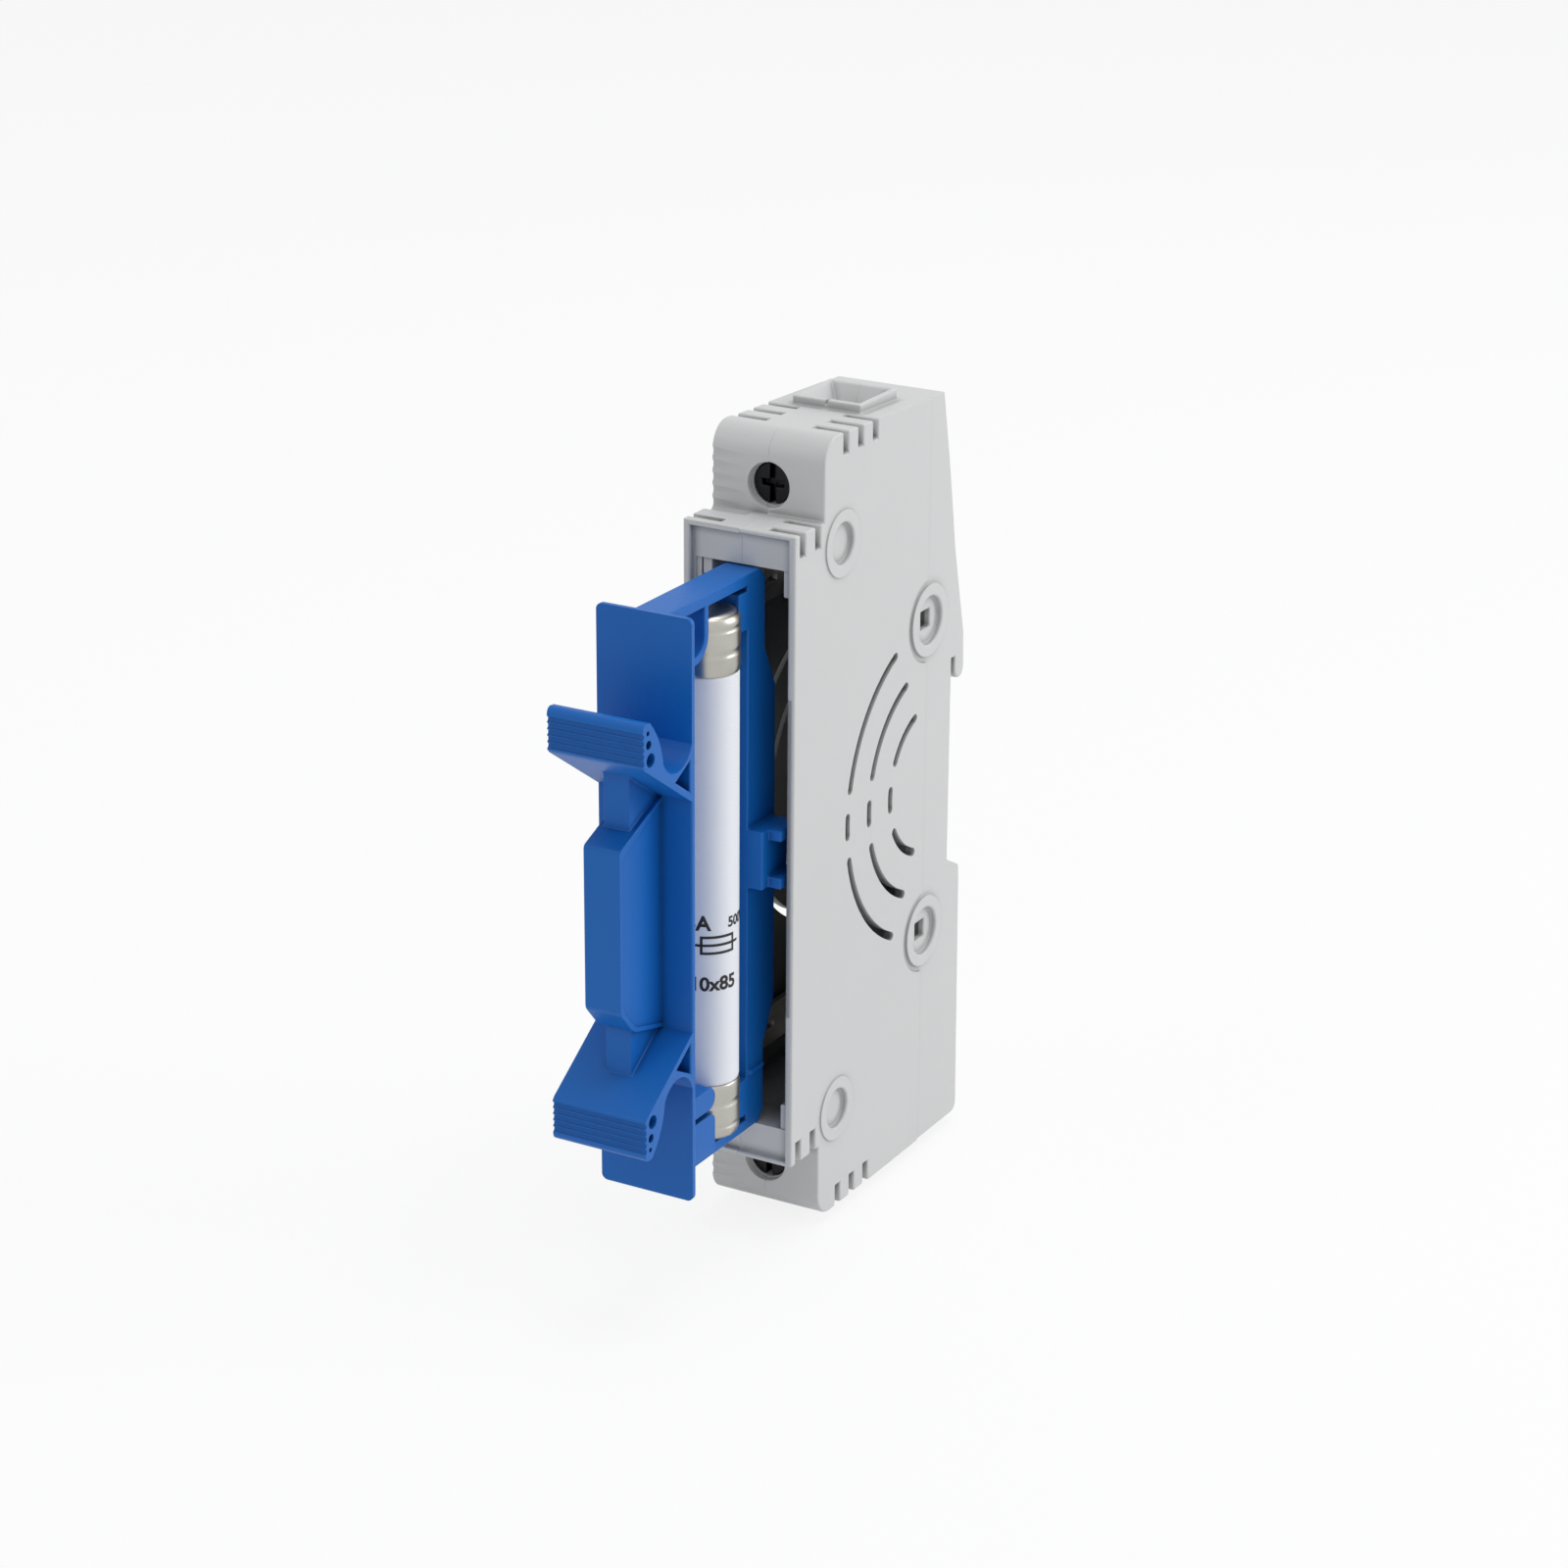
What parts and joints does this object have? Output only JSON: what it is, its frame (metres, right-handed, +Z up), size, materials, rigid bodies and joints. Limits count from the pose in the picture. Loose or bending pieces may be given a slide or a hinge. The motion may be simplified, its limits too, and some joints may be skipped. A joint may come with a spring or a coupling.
{
  "type": "fuse holder",
  "caption": "Slim rail-mounted fuse base in two half shells, with a pull-out finger-grip carrier that holds a long cartridge fuse, clamp terminals at both ends and a sprung rail foot.",
  "frame": {"origin": "centre of the 35 mm rail's seat, on the plane where the rail's flanges rest", "axes": "+Z up along the fuse, +X to the right seen from the front, -Y out of the front towards the person"},
  "size_m": [0.02, 0.0976, 0.1312],
  "materials": {
    "grey_shell": "fine matte moulded",
    "grey_foot": "fine matte moulded",
    "blue_plastic": "satin moulded",
    "white_tube": "fine woven, matt",
    "silvered_cap": "silvered, slightly dull",
    "tinned_copper": "tinned",
    "spring_steel": "bright",
    "zinc_steel": "zinc plated",
    "screw_steel": "zinc plated",
    "silver_strip": "bright silver",
    "quartz_sand": "grainy"
  },
  "bodies": {
    "base": {"housing_left": "grey_shell", "housing_right": "grey_shell", "upper_contact": "tinned_copper", "lower_contact": "tinned_copper", "upper_jaw_spring": "spring_steel", "lower_jaw_spring": "spring_steel", "foot_spring": "spring_steel"},
    "carrier": {"fuse_carrier": "blue_plastic", "fuse_tube": "white_tube", "upper_cap": "silvered_cap", "lower_cap": "silvered_cap", "melting_strip": "silver_strip", "sand_filling": "quartz_sand"},
    "foot": {"rail_foot": "grey_foot"},
    "clamp_upper": {"upper_cage": "zinc_steel"},
    "clamp_lower": {"lower_cage": "zinc_steel"},
    "screw_upper": {"upper_screw": "screw_steel"},
    "screw_lower": {"lower_screw": "screw_steel"}
  },
  "joints": [
    {"name": "carrier_slide", "type": "slide", "parent": "base", "child": "carrier", "axis": [0, 1, 0], "range_m": [0, 0.0272]},
    {"name": "foot_release", "type": "slide", "parent": "base", "child": "foot", "axis": [0, 0, -1], "range_m": [0, 0.0035], "stiffness_N_per_m": 1500, "springref_m": -0.003, "deforming": ["foot_spring"]},
    {"name": "upper_screw_turn", "type": "hinge", "parent": "base", "child": "screw_upper", "pos_m": [0, -0.038, 0.0561], "axis": [0, 1, 0], "range_deg": [0, 2250]},
    {"name": "upper_clamp_slide", "type": "slide", "parent": "base", "child": "clamp_upper", "axis": [0, -1, 0], "range_m": [0, 0.005]},
    {"name": "lower_screw_turn", "type": "hinge", "parent": "base", "child": "screw_lower", "pos_m": [0, -0.038, -0.0561], "axis": [0, 1, 0], "range_deg": [0, 2250]},
    {"name": "lower_clamp_slide", "type": "slide", "parent": "base", "child": "clamp_lower", "axis": [0, -1, 0], "range_m": [0, 0.005]}
  ],
  "couplings": [
    {"joint": "upper_screw_turn", "follows": "upper_clamp_slide", "rad_per_m": 7853},
    {"joint": "lower_screw_turn", "follows": "lower_clamp_slide", "rad_per_m": 7853}
  ]
}
